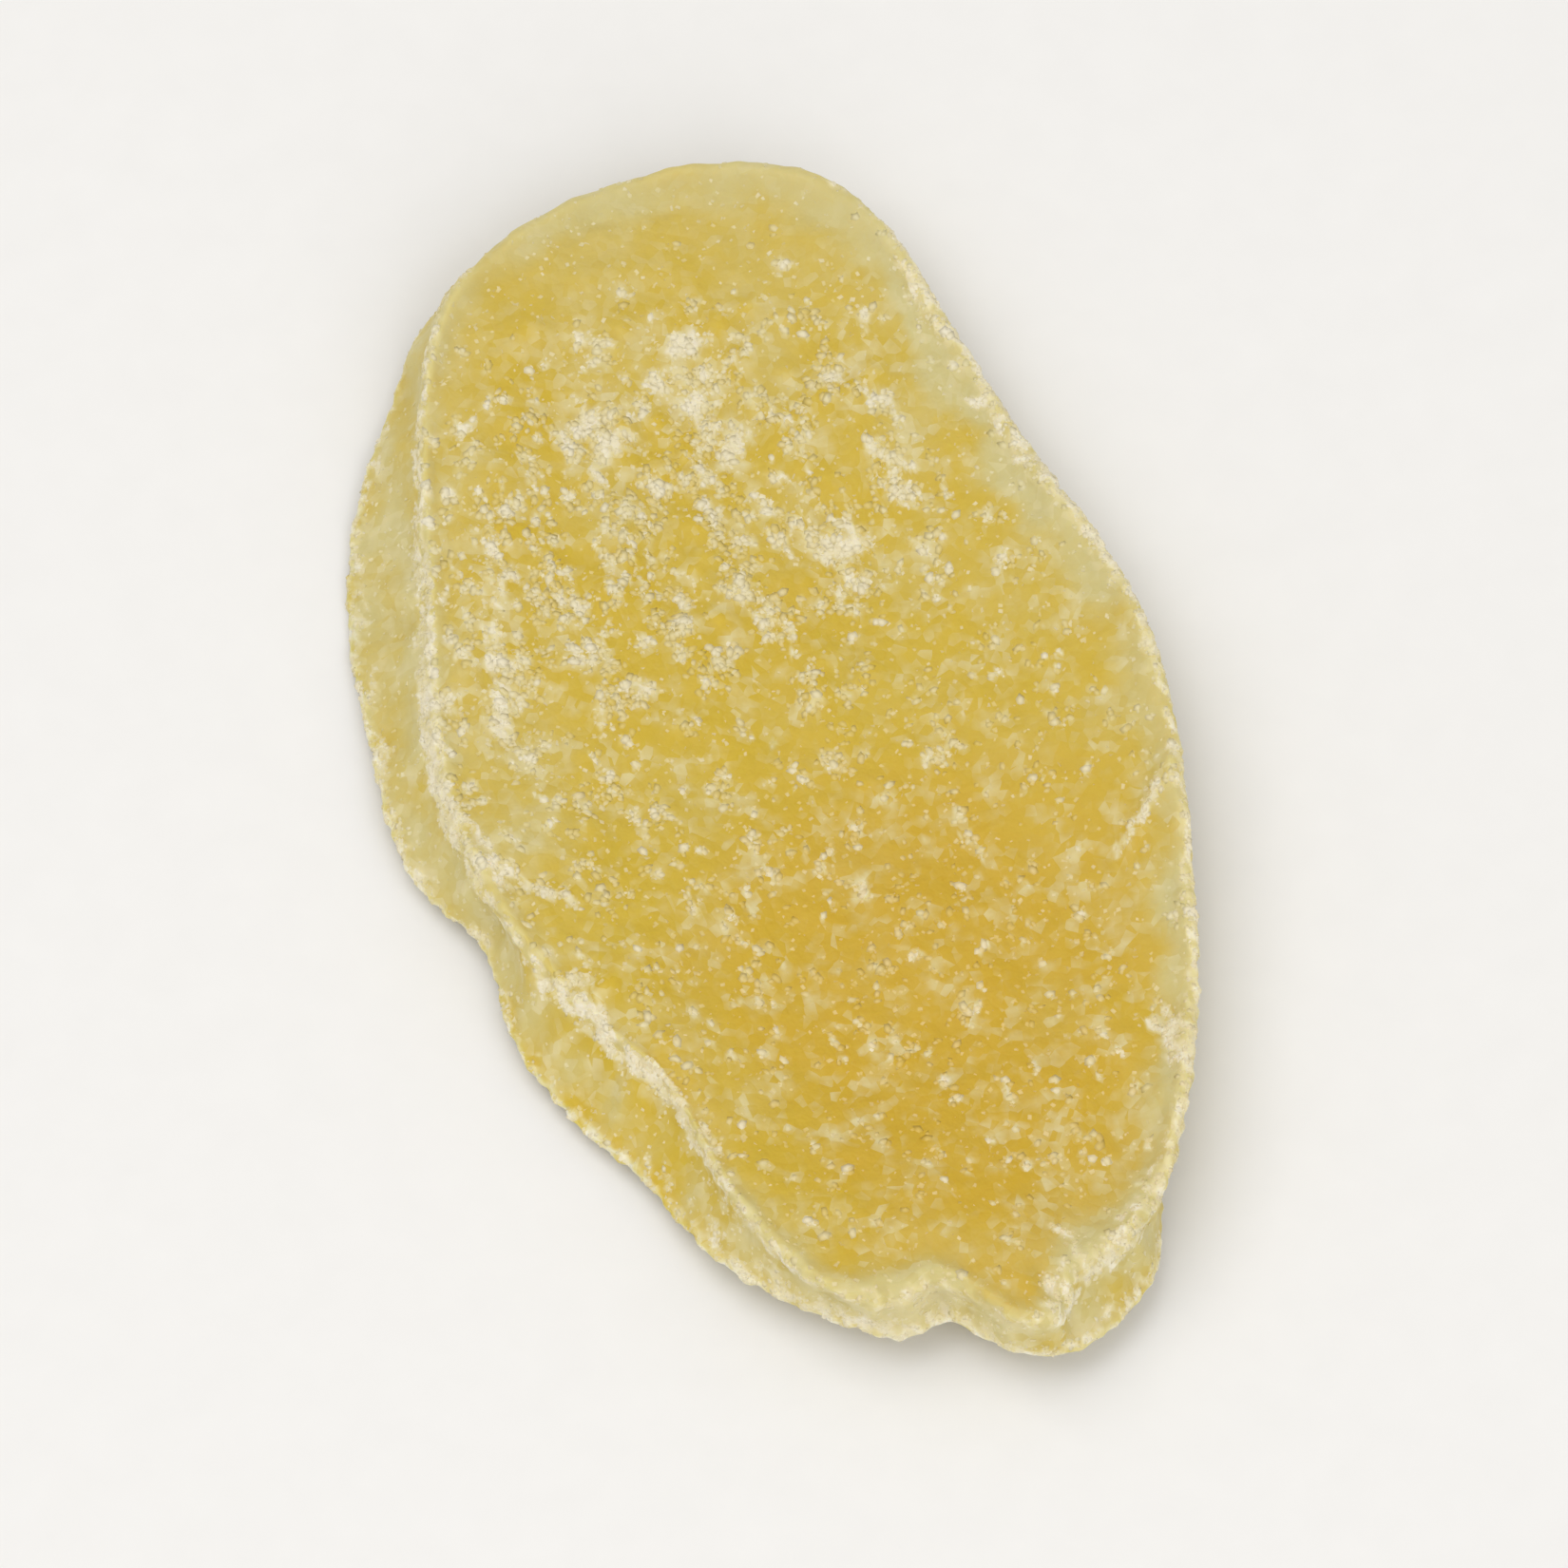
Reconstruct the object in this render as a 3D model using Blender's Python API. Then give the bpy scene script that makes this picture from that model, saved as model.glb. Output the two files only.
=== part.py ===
"""One slice of dried ginger, lying on its underside with the sugared face up.

The slice was cut slantwise through a ginger root, so it is a long oval whose
underside reaches further out than its face along the left and near sides.
Drying has lifted its rim off the table, puckered the near end into small lobes
and left a raised frosted edge round the face.
The origin is on the table, under the middle of the slice's box. +Y runs towards
the smooth far end, +X to the right and +Z up.
"""

import math

import bmesh
import bpy
import numpy as np

MM = 0.001

# The driving sizes of the plain oval that the outline departs from
LENGTH = 54 * MM
WIDTH = 30 * MM
THICKNESS = 2.8 * MM

# Mesh density: rings between the middle and the rim, and rows up the side wall
FACE_RINGS = 28
WALL_ROWS = 4

# The edge of the face: a direction on the plain oval in degrees, and the reach as a share of that oval
FACE_EDGE = (
    (0, 1.005), (20, 0.945), (33, 0.975), (49, 1.055), (63, 1.01), (80, 0.95), (100, 0.92),
    (118, 0.915), (138, 0.84), (153, 0.80), (170, 0.84), (190, 0.835), (207, 0.77), (222, 0.745),
    (236, 0.88), (247, 0.95), (258, 0.935), (266, 0.915), (270, 0.96), (274, 1.015), (279, 1.03),
    (283, 0.99), (288, 0.985), (294, 1.005), (301, 1.015), (310, 1.005), (335, 0.98),
)
# The edge of the underside, which shows past the face from 120 to 300 degrees
UNDER_EDGE = (
    (0, 0.97), (20, 0.92), (49, 1.02), (80, 0.935), (100, 0.925), (119, 0.955), (131, 0.955),
    (144, 0.985), (152, 1.0), (168, 0.99), (181, 0.985), (190, 0.885), (200, 0.935), (211, 0.92),
    (222, 0.90), (230, 0.94), (245, 0.95), (256, 0.965), (266, 0.945), (272, 1.005), (280, 1.048),
    (290, 1.06), (297, 1.05), (303, 1.0), (310, 0.975), (335, 0.95),
)

# How far the dried rim has lifted off the table on each side, and what still lies flat in the middle
LIFT_RIGHT = 2.3 * MM
LIFT_LEFT = 1.3 * MM
LIFT_FAR = 1.0 * MM
LIFT_NEAR = 2.0 * MM
TWIST = 0.6 * MM
RESTING_DEPTH = 0.25 * MM

# The waves of the rim: long ones all round, and short ones that grow towards the puckered near end
RIM_LONG_WAVE = 0.16 * MM
RIM_SHORT_WAVE = 0.22 * MM
PUCKER_MIDDLE = 262
PUCKER_REACH = 60

# Uneven relief: how high it stands and how far apart its crests are
UNDER_RELIEF, UNDER_WAVE = 0.12 * MM, 6 * MM
FACE_RELIEF, FACE_WAVE = 0.11 * MM, 9 * MM
FIBRE_RELIEF, FIBRE_WAVE = 0.05 * MM, 2.6 * MM

# The face is thinner in its middle and at its rim. A low lip runs along just inside its edge, which is rounded
DISH_DEPTH = 0.35 * MM
RIM_THINNING = 0.35 * MM
LIP_HEIGHT = 0.34 * MM
LIP_INSET = 0.45 * MM
LIP_WIDTH = 0.65 * MM
LIP_WAVE = 4 * MM
EDGE_DROP = 0.22 * MM
EDGE_WIDTH = 0.35 * MM

# The side wall shrinks inwards between its two edges
WALL_HOLLOW = 0.28 * MM
WALL_WRINKLE, WALL_WAVE = 0.16 * MM, 2.4 * MM

# Folds on the face: both ends in plan, half width and height, in millimetres
FOLDS = (
    (13.9, -6.6, 11.2, -9.4, 0.45, 0.38),
    (6.6, -24.6, 3.4, -25.9, 0.60, 0.55),
    (3.0, -27.9, 2.2, -26.9, 0.50, 0.45),
    (3.1, -27.2, 2.2, -25.2, 0.45, -0.70),
    (8.4, -22.6, 6.4, -23.4, 0.70, 0.30),
    (-0.7, -25.6, -1.0, -23.2, 0.80, -0.45),
    (10.4, -19.0, 8.6, -19.8, 0.65, 0.28),
    (-9.6, -8.6, -7.6, -7.0, 0.60, 0.32),
    (-8.8, -11.8, -6.8, -11.2, 0.65, 0.28),
    (-12.3, -3.0, -9.6, -3.4, 0.65, -0.32),
)

# Clumps of sugar caked on the face: how many, how large, and the middle and spread of the patch
CLUMP_COUNT = 90
CLUMP_RADIUS = (0.45 * MM, 0.95 * MM)
CLUMP_HEIGHT = (0.10 * MM, 0.30 * MM)
CLUMP_MIDDLE = (1.0 * MM, 11.0 * MM)
CLUMP_SPREAD = (5.0 * MM, 6.5 * MM)
CLUMP_SEED = 11


def smooth_step(value):
    """0 below 0, 1 above 1, and a smooth rise between them."""
    held = np.clip(value, 0, 1)
    return held * held * (3 - 2 * held)


def round_curve(points, angle):
    """A smooth closed curve through (degrees, value) points, read at these angles."""
    at = np.array([p[0] for p in points], float)
    value = np.array([p[1] for p in points], float)
    at = np.concatenate([at[-2:] - 360, at, at[:3] + 360])
    value = np.concatenate([value[-2:], value, value[:3]])
    slope = np.gradient(value, at)
    turned = np.mod(angle, 360)
    k = np.searchsorted(at, turned, side="right") - 1
    gap = at[k + 1] - at[k]
    t = (turned - at[k]) / gap
    start = (1 + 2 * t) * (1 - t) ** 2 * value[k] + t * (1 - t) ** 2 * gap * slope[k]
    end = t * t * (3 - 2 * t) * value[k + 1] + t * t * (t - 1) * gap * slope[k + 1]
    return start + end


def ripples(x, y, wavelength, seed, waves=20):
    """Smooth uneven relief, about -1 to 1, summed from seeded plane waves of about that wavelength."""
    draw = np.random.default_rng(seed)
    heading = draw.uniform(0, 2 * math.pi, waves)
    shift = draw.uniform(0, 2 * math.pi, waves)
    pace = 2 * math.pi / (wavelength * draw.uniform(0.75, 1.5, waves))
    total = np.zeros_like(x)
    for h, s, p in zip(heading, shift, pace):
        total += np.cos(p * (x * math.cos(h) + y * math.sin(h)) + s)
    return total / math.sqrt(waves)


def plan(edge, ring, angle):
    """Where a point at that share of the way out, in that direction, lies on the table."""
    reach = ring * (1 + (round_curve(edge, angle) - 1) * ring**2)
    turn = np.radians(angle)
    return WIDTH / 2 * reach * np.cos(turn), LENGTH / 2 * reach * np.sin(turn)


def fold_relief(x, y):
    """The short folds and notches near the rim."""
    total = np.zeros_like(x)
    for x0, y0, x1, y1, half_width, height in FOLDS:
        px, py = x / MM - x0, y / MM - y0
        dx, dy = x1 - x0, y1 - y0
        along = np.clip((px * dx + py * dy) / (dx * dx + dy * dy), 0, 1)
        away = np.hypot(px - along * dx, py - along * dy)
        total += height * MM * (1 - 0.6 * along) * np.exp(-((away / half_width) ** 2))
    return total


def clumps():
    """(x, y, radius, height) of each clump of sugar, from a seeded draw."""
    draw = np.random.default_rng(CLUMP_SEED)
    across = draw.normal(CLUMP_MIDDLE[0], CLUMP_SPREAD[0], CLUMP_COUNT)
    along = draw.normal(CLUMP_MIDDLE[1], CLUMP_SPREAD[1], CLUMP_COUNT)
    radius = draw.uniform(*CLUMP_RADIUS, CLUMP_COUNT)
    height = draw.uniform(*CLUMP_HEIGHT, CLUMP_COUNT)
    return list(zip(across, along, radius, height))


def clump_relief(x, y, ring):
    """The height of the caked sugar, which thins out before the rim."""
    total = np.zeros_like(x)
    for cx, cy, radius, height in clumps():
        total = np.maximum(total, height * np.exp(-(((x - cx) ** 2 + (y - cy) ** 2) / radius**2)))
    return total * smooth_step((0.97 - ring) / 0.08)


def lift(x, y):
    """How high the underside stands off the table, before what lies flat is pressed to it."""
    across = x / (WIDTH / 2)
    along = y / (LENGTH / 2)
    side = np.where(across > 0, LIFT_RIGHT, LIFT_LEFT) * np.abs(across) ** 2.2
    far = LIFT_FAR * smooth_step((along - 0.35) / 0.75)
    near = LIFT_NEAR * smooth_step((-along - 0.40) / 0.70)
    return side + far + near + TWIST * across * along - RESTING_DEPTH


def rim_height(ring, angle):
    """What the waves of the rim add to both faces of the slice: waves that close on themselves."""
    turn = np.radians(angle)
    long_wave = np.cos(3 * turn + 0.6) + 0.8 * np.cos(5 * turn + 2.1)
    short_wave = 0.5 * np.cos(9 * turn + 1.0) + 0.45 * np.cos(14 * turn + 4.0) + 0.2 * np.cos(23 * turn)
    from_pucker = np.abs(np.mod(angle, 360) - PUCKER_MIDDLE)
    puckered = 0.25 + 0.75 * smooth_step((PUCKER_REACH - from_pucker) / 45)
    return RIM_LONG_WAVE * long_wave * ring**3 + RIM_SHORT_WAVE * short_wave * puckered * ring**8


def under_height(x, y, ring, angle):
    """The underside: pressed flat where it rests, lifted and uneven elsewhere."""
    uneven = UNDER_RELIEF * ripples(x, y, UNDER_WAVE, 5) * smooth_step((ring - 0.2) / 0.5)
    return np.maximum(lift(x, y) + rim_height(ring, angle) + uneven, 0)


def thickness(x, y, ring):
    """How thick the slice is: dished in the middle, with shallow hollows, and thinner at the rim."""
    dish = DISH_DEPTH * (1 - smooth_step(ring / 0.8))
    edge = RIM_THINNING * smooth_step((ring - 0.8) / 0.2)
    hollows = FACE_RELIEF * ripples(x, y, FACE_WAVE, 21)
    fibres = FIBRE_RELIEF * ripples(x, y * 0.45, FIBRE_WAVE, 22)
    return THICKNESS - dish - edge + hollows + fibres


def face_height(x, y, ring, angle):
    """The face: the bend of the whole slice, its thickness and what stands on it."""
    bend = np.maximum(lift(x, y) + rim_height(ring, angle), 0)
    from_edge = np.hypot(x, y) * (1 / np.maximum(ring, 0.1) - 1)
    uneven = 0.75 + 0.3 * ripples(x, y, LIP_WAVE, 31)
    lip = LIP_HEIGHT * uneven * np.exp(-(((from_edge - LIP_INSET) / LIP_WIDTH) ** 2))
    edge = EDGE_DROP * np.exp(-((from_edge / EDGE_WIDTH) ** 2))
    return bend + thickness(x, y, ring) + lip - edge + fold_relief(x, y) + clump_relief(x, y, ring)


def face_point(ring, angle):
    x, y = plan(FACE_EDGE, ring, angle)
    return np.stack([x, y, face_height(x, y, ring, angle)], axis=-1)


def under_point(ring, angle):
    x, y = plan(UNDER_EDGE, ring, angle)
    return np.stack([x, y, under_height(x, y, ring, angle)], axis=-1)


def wall_point(drop, angle):
    """A point on the side wall, drop of the way from the edge of the face to that of the underside."""
    rim = np.ones_like(angle)
    top, foot = face_point(rim, angle), under_point(rim, angle)
    point = top + (foot - top) * drop[:, None]
    turn = np.radians(angle)
    outward = np.stack([np.cos(turn) / WIDTH, np.sin(turn) / LENGTH, np.zeros_like(turn)], axis=-1)
    outward /= np.linalg.norm(outward, axis=-1, keepdims=True)
    around = np.radians(angle) * (WIDTH + LENGTH) / 4
    wrinkle = WALL_WRINKLE * ripples(around, drop * THICKNESS / 2, WALL_WAVE, 41)
    inward = (WALL_HOLLOW + wrinkle) * np.sin(math.pi * drop)
    return point - outward * inward[:, None]


def ring_and_angle(x, y):
    """Reads a six-sided prism as rings: the share of the way out, and the direction in degrees."""
    first_corner, step = 30.0, 60.0
    turn = np.degrees(np.arctan2(y, x)) - first_corner
    sector = np.floor(turn / step)
    off_middle = np.radians(turn - step * sector - step / 2)
    apothem = math.cos(math.radians(step / 2))
    ring = np.hypot(x, y) * np.cos(off_middle) / apothem
    along = 0.5 + apothem * np.tan(off_middle)
    return np.clip(ring, 0, 1), first_corner + step * (sector + along)


def even_prism():
    """A six-sided prism, its caps divided into even triangles and its sides into rows."""
    prism = bmesh.new()
    bmesh.ops.create_cone(
        prism, cap_ends=True, cap_tris=True, segments=6, radius1=1, radius2=1, depth=2
    )
    uprights = [e for e in prism.edges if abs(e.verts[0].co.z - e.verts[1].co.z) > 1]
    bmesh.ops.subdivide_edges(prism, edges=uprights, cuts=WALL_ROWS - 1)
    level = [e for e in prism.edges if abs(e.verts[0].co.z - e.verts[1].co.z) < 0.01]
    bmesh.ops.subdivide_edges(prism, edges=level, cuts=FACE_RINGS - 1, use_grid_fill=True)
    return prism


def shape_slice(prism):
    """Moves every vertex of the prism to its place on the slice, with the middle of its box at the origin."""
    co = np.array([v.co for v in prism.verts])
    ring, angle = ring_and_angle(co[:, 0], co[:, 1])
    drop = (1 - co[:, 2]) / 2
    closer_rings = 1.12 * ring - 0.12 * ring**3
    place = wall_point(drop, angle)
    on_face = drop < 0.001
    on_under = drop > 0.999
    place[on_face] = face_point(closer_rings[on_face], angle[on_face])
    place[on_under] = under_point(closer_rings[on_under], angle[on_under])
    place[:, :2] -= (place[:, :2].min(axis=0) + place[:, :2].max(axis=0)) / 2
    for vertex, point in zip(prism.verts, place):
        vertex.co = point


def ginger_material():
    """Amber, slightly translucent dried ginger under a film of sugar."""
    material = bpy.data.materials.new("dried_ginger")
    material.use_nodes = True
    shader = material.node_tree.nodes["Principled BSDF"]
    shader.inputs["Base Color"].default_value = (0.62, 0.45, 0.12, 1)
    shader.inputs["Roughness"].default_value = 0.6
    shader.inputs["Metallic"].default_value = 0.0
    shader.inputs["Subsurface Weight"].default_value = 0.4
    shader.inputs["Subsurface Scale"].default_value = 2 * MM
    return material


def main():
    for old in list(bpy.data.objects):
        bpy.data.objects.remove(old, do_unlink=True)
    parts = bpy.data.collections.new("dried_ginger")
    bpy.context.scene.collection.children.link(parts)

    prism = even_prism()
    shape_slice(prism)
    bmesh.ops.triangulate(prism, faces=prism.faces[:])
    bmesh.ops.recalc_face_normals(prism, faces=prism.faces[:])
    mesh = bpy.data.meshes.new("ginger_slice")
    prism.to_mesh(mesh)
    prism.free()
    mesh.shade_smooth()
    mesh.set_sharp_from_angle(angle=math.radians(50))

    ginger = bpy.data.objects.new("ginger_slice", mesh)
    ginger.data.materials.append(ginger_material())
    parts.objects.link(ginger)
    print(f"ginger_slice: {len(mesh.polygons)} triangles")


main()
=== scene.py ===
# %% [markdown]
# # A slice of sugared dried ginger
#
# The real thing is one slanting cut through a ginger root, simmered in syrup, dried, and tossed in sugar.
# Three things make it look like itself: amber flesh that light sinks into, a pale crust of frost along its
# rim, and thousands of small sugar crystals. Each gets its own steps below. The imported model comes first,
# because everything is built to its box.

# %% Load the frame
import math

import bmesh
import bpy
import numpy as np
from mathutils.kdtree import KDTree
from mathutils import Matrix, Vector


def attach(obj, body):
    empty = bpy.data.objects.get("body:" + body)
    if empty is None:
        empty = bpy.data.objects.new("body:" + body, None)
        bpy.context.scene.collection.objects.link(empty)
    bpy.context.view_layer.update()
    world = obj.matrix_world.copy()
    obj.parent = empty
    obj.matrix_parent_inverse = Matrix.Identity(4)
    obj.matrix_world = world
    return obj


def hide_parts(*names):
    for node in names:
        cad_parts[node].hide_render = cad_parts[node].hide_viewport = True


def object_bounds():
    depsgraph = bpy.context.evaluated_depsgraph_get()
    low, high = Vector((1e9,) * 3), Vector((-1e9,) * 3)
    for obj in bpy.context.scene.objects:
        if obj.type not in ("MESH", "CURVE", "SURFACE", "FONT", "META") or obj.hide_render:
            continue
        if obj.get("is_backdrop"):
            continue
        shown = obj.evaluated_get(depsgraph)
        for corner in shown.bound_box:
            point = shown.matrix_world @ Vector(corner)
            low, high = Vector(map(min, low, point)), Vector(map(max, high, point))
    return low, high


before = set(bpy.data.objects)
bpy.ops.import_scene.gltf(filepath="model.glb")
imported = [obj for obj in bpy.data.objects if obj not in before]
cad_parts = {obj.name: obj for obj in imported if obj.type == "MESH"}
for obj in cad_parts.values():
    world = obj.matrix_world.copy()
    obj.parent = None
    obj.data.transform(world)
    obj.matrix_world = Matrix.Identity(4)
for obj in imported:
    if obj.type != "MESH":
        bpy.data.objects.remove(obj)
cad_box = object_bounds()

MM = 0.001
NODE = "ginger_slice"
low, high = (np.array(corner) for corner in cad_box)
print("the slice measures", np.round((high - low) / MM, 2), "mm")

# %% [markdown]
# ## The camera
#
# The photograph looks down on the slice at about 62 degrees, from well back, so near and far look alike in
# size. A long lens does the same here. A short lens close by would swell the near end.

# %% Camera
AZIMUTH = math.radians(-18.2)
ELEVATION = math.radians(62)
LENS = 400
FRAME_WIDTH = 60 * MM
TARGET = np.array([0.0, 0.0, 1.5 * MM])
CLIP_RANGE = 20


def camera_towards(target, width):
    """A camera at the photograph's angle, with that width of scene in view at the target."""
    back = np.array([
        math.sin(AZIMUTH) * math.cos(ELEVATION),
        -math.cos(AZIMUTH) * math.cos(ELEVATION),
        math.sin(ELEVATION),
    ])
    data = bpy.data.cameras.new("camera")
    data.lens = LENS
    distance = width * LENS / data.sensor_width
    data.clip_start = distance / CLIP_RANGE
    data.clip_end = distance * CLIP_RANGE
    camera = bpy.data.objects.new("camera", data)
    bpy.context.scene.collection.objects.link(camera)
    camera.location = target + back * distance
    camera.rotation_euler = (math.pi / 2 - ELEVATION, 0, AZIMUTH)
    bpy.context.scene.camera = camera
    return camera


camera = camera_towards(TARGET, FRAME_WIDTH)
print("the camera stands", round(camera.location.length / MM), "mm away")

# %% [markdown]
# ## Node maths in plain Python
#
# A procedural material is a web of small nodes. Placed one by one they hide the idea, so one small class
# wraps an output socket and lets it be added, multiplied and subtracted like a number. A second class holds
# the material and makes every other kind of node.

# %% Node maths


class Wire:
    """An output socket that takes part in expressions."""

    def __init__(self, recipe, socket):
        self.recipe = recipe
        self.socket = socket

    def maths(self, operation, *values):
        return self.recipe.node("Math", {"operation": operation}, dict(enumerate(values)))

    def __add__(self, other):
        return self.maths("ADD", self, other)

    def __mul__(self, other):
        return self.maths("MULTIPLY", self, other)

    def __sub__(self, other):
        return self.maths("SUBTRACT", self, other)

    def __rsub__(self, other):
        return self.maths("SUBTRACT", other, self)

    __radd__ = __add__
    __rmul__ = __mul__

    def step(self, start, end):
        """0 before start, 1 after end, and a smooth rise between them."""
        settings = {"interpolation_type": "SMOOTHSTEP"}
        return self.recipe.node("MapRange", settings, {"Value": self, "From Min": start, "From Max": end})


class Recipe:
    """A material, and the one method that makes its nodes."""

    # where a Mix node keeps the sockets of its share and of its colours
    MIX_SHARE, MIX_FIRST, MIX_SECOND, MIX_RESULT = 0, 6, 7, 2
    NOISE_DETAIL = 2.0
    NOISE_ROUGHNESS = 0.55
    NOISE_CONTRAST = 8

    def __init__(self, name):
        self.material = bpy.data.materials.new(name)
        self.material.use_nodes = True
        self.tree = self.material.node_tree
        self.tree.nodes.clear()

    def node(self, kind, settings, values, output=0):
        made = self.tree.nodes.new("ShaderNode" + kind)
        for name, value in settings.items():
            setattr(made, name, value)
        for socket, value in values.items():
            if isinstance(value, Wire):
                self.tree.links.new(value.socket, made.inputs[socket])
            else:
                made.inputs[socket].default_value = value
        return Wire(self, made.outputs[output]) if made.outputs else None

    def mix(self, share, first, second):
        """The first colour where share is 0, the second where it is 1."""
        values = {self.MIX_SHARE: share, self.MIX_FIRST: first, self.MIX_SECOND: second}
        return self.node("Mix", {"data_type": "RGBA"}, values, self.MIX_RESULT)

    def place(self):
        """Where a point of the surface lies on the slice."""
        return self.node("TexCoord", {}, {}, "Object")

    def noise(self, size):
        """Soft noise whose blotches are about that size in metres."""
        values = {"Vector": self.place(), "Scale": 1 / size}
        values.update({"Detail": self.NOISE_DETAIL, "Roughness": self.NOISE_ROUGHNESS})
        return self.node("TexNoise", {}, values)

    def spread(self, size):
        """The same noise about 0, mostly between -1 and 1."""
        return (self.noise(size) - 0.5) * self.NOISE_CONTRAST

    def cells(self, size, output):
        """Small cells about that size in metres: the distance to the middle, or a chance colour."""
        return self.node("TexVoronoi", {}, {"Vector": self.place(), "Scale": 1 / size}, output)

    def speckle(self, size):
        """A chance value for each small cell, between -1 and 1."""
        colour = self.cells(size, "Color")
        return self.node("SeparateColor", {}, {"Color": colour}, "Red") * 2 - 1

    def stored(self, name):
        """A value kept at the mesh's own points."""
        return self.node("Attribute", {"attribute_name": name}, {}, "Fac")

    def finish(self, shader):
        self.node("OutputMaterial", {}, {"Surface": shader})
        return self.material


def srgb(red, green, blue):
    """A colour from its 0 to 255 values as a screen shows them. The numbers are the sRGB standard's own."""
    def linear(value):
        share = value / 255
        return share / 12.92 if share <= 0.04045 else ((share + 0.055) / 1.055) ** 2.4
    return (linear(red), linear(green), linear(blue), 1.0)


print("node maths ready")

# %% [markdown]
# ## The outline of the slice
#
# Seen from above the slice is a long oval that the root's own shape and the drying have pushed about. Two
# edges describe it: the edge of the face, and the wider edge of the underside, because the knife went
# through the root at a slant. Each edge is a short list of directions with the reach there as a share of a
# plain oval. The same sizes made the solid that this piece stands for, so the two agree.

# %% Outline
LENGTH = 54 * MM
WIDTH = 30 * MM
THICKNESS = 2.8 * MM

FACE_EDGE = (
    (0, 1.005), (20, 0.945), (33, 0.975), (49, 1.055), (63, 1.01), (80, 0.95), (100, 0.92),
    (118, 0.915), (138, 0.84), (153, 0.80), (170, 0.84), (190, 0.835), (207, 0.77), (222, 0.745),
    (236, 0.88), (247, 0.95), (258, 0.935), (266, 0.915), (270, 0.96), (274, 1.015), (279, 1.03),
    (283, 0.99), (288, 0.985), (294, 1.005), (301, 1.015), (310, 1.005), (335, 0.98),
)
UNDER_EDGE = (
    (0, 0.97), (20, 0.92), (49, 1.02), (80, 0.935), (100, 0.925), (119, 0.955), (131, 0.955),
    (144, 0.985), (152, 1.0), (168, 0.99), (181, 0.985), (190, 0.885), (200, 0.935), (211, 0.92),
    (222, 0.90), (230, 0.94), (245, 0.95), (256, 0.965), (266, 0.945), (272, 1.005), (280, 1.048),
    (290, 1.06), (297, 1.05), (303, 1.0), (310, 0.975), (335, 0.95),
)


def smooth_step(value):
    """0 below 0, 1 above 1, and a smooth rise between them."""
    held = np.clip(value, 0, 1)
    return held * held * (3 - 2 * held)


def round_curve(points, angle):
    """A smooth closed curve through (degrees, value) points, read at these angles."""
    at = np.array([p[0] for p in points], float)
    value = np.array([p[1] for p in points], float)
    at = np.concatenate([at[-2:] - 360, at, at[:3] + 360])
    value = np.concatenate([value[-2:], value, value[:3]])
    slope = np.gradient(value, at)
    turned = np.mod(angle, 360)
    k = np.searchsorted(at, turned, side="right") - 1
    gap = at[k + 1] - at[k]
    t = (turned - at[k]) / gap
    start = (1 + 2 * t) * (1 - t) ** 2 * value[k] + t * (1 - t) ** 2 * gap * slope[k]
    end = t * t * (3 - 2 * t) * value[k + 1] + t * t * (t - 1) * gap * slope[k + 1]
    return start + end


def plan(edge, ring, angle):
    """Where a point at that share of the way out, in that direction, lies on the table."""
    reach = ring * (1 + (round_curve(edge, angle) - 1) * ring**2)
    turn = np.radians(angle)
    return WIDTH / 2 * reach * np.cos(turn), LENGTH / 2 * reach * np.sin(turn)


around = np.arange(0, 360, 5.0)
face_x, face_y = plan(FACE_EDGE, np.ones_like(around), around)
print("the face is", round(np.ptp(face_x) / MM, 1), "by", round(np.ptp(face_y) / MM, 1), "mm")

# %% [markdown]
# ## The bend, the thickness and the folds
#
# Drying lifts the rim off the table, most along the right and near sides, and leaves the middle resting flat.
# The face dishes a little, a ridge runs along its edge, and short folds pucker the near end. Each of these
# is one small function of the place on the slice, so that any of them can be changed alone.

# %% Bend and relief of the form
LIFT_RIGHT = 2.3 * MM
LIFT_LEFT = 1.3 * MM
SIDE_CURL = 2.2
LIFT_FAR, FAR_START, FAR_REACH = 1.0 * MM, 0.35, 0.75
LIFT_NEAR, NEAR_START, NEAR_REACH = 2.0 * MM, 0.40, 0.70
TWIST = 0.6 * MM
RESTING_DEPTH = 0.25 * MM
# how strong each wave along the rim is, how often it goes round and how far it is turned
RIM_LONG_WAVE = 0.16 * MM
LONG_WAVES = ((1.0, 3, 0.6), (0.8, 5, 2.1))
RIM_SHORT_WAVE = 0.22 * MM
SHORT_WAVES = ((0.5, 9, 1.0), (0.45, 14, 4.0), (0.2, 23, 0.0))
PUCKER_MIDDLE = 262
PUCKER_REACH = 60
PUCKER_FADE = 45
CALM_SHARE = 0.25
# start, end, half width and height of each fold, in millimetres
FOLDS = (
    (13.9, -6.6, 11.2, -9.4, 0.45, 0.38),
    (6.6, -24.6, 3.4, -25.9, 0.60, 0.55),
    (3.0, -27.9, 2.2, -26.9, 0.50, 0.45),
    (3.1, -27.2, 2.2, -25.2, 0.45, -0.70),
    (8.4, -22.6, 6.4, -23.4, 0.70, 0.30),
    (-0.7, -25.6, -1.0, -23.2, 0.80, -0.45),
    (10.4, -19.0, 8.6, -19.8, 0.65, 0.28),
    (-9.6, -8.6, -7.6, -7.0, 0.60, 0.32),
    (-8.8, -11.8, -6.8, -11.2, 0.65, 0.28),
    (-12.3, -3.0, -9.6, -3.4, 0.65, -0.32),
)
FOLD_TAPER = 0.6


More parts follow.
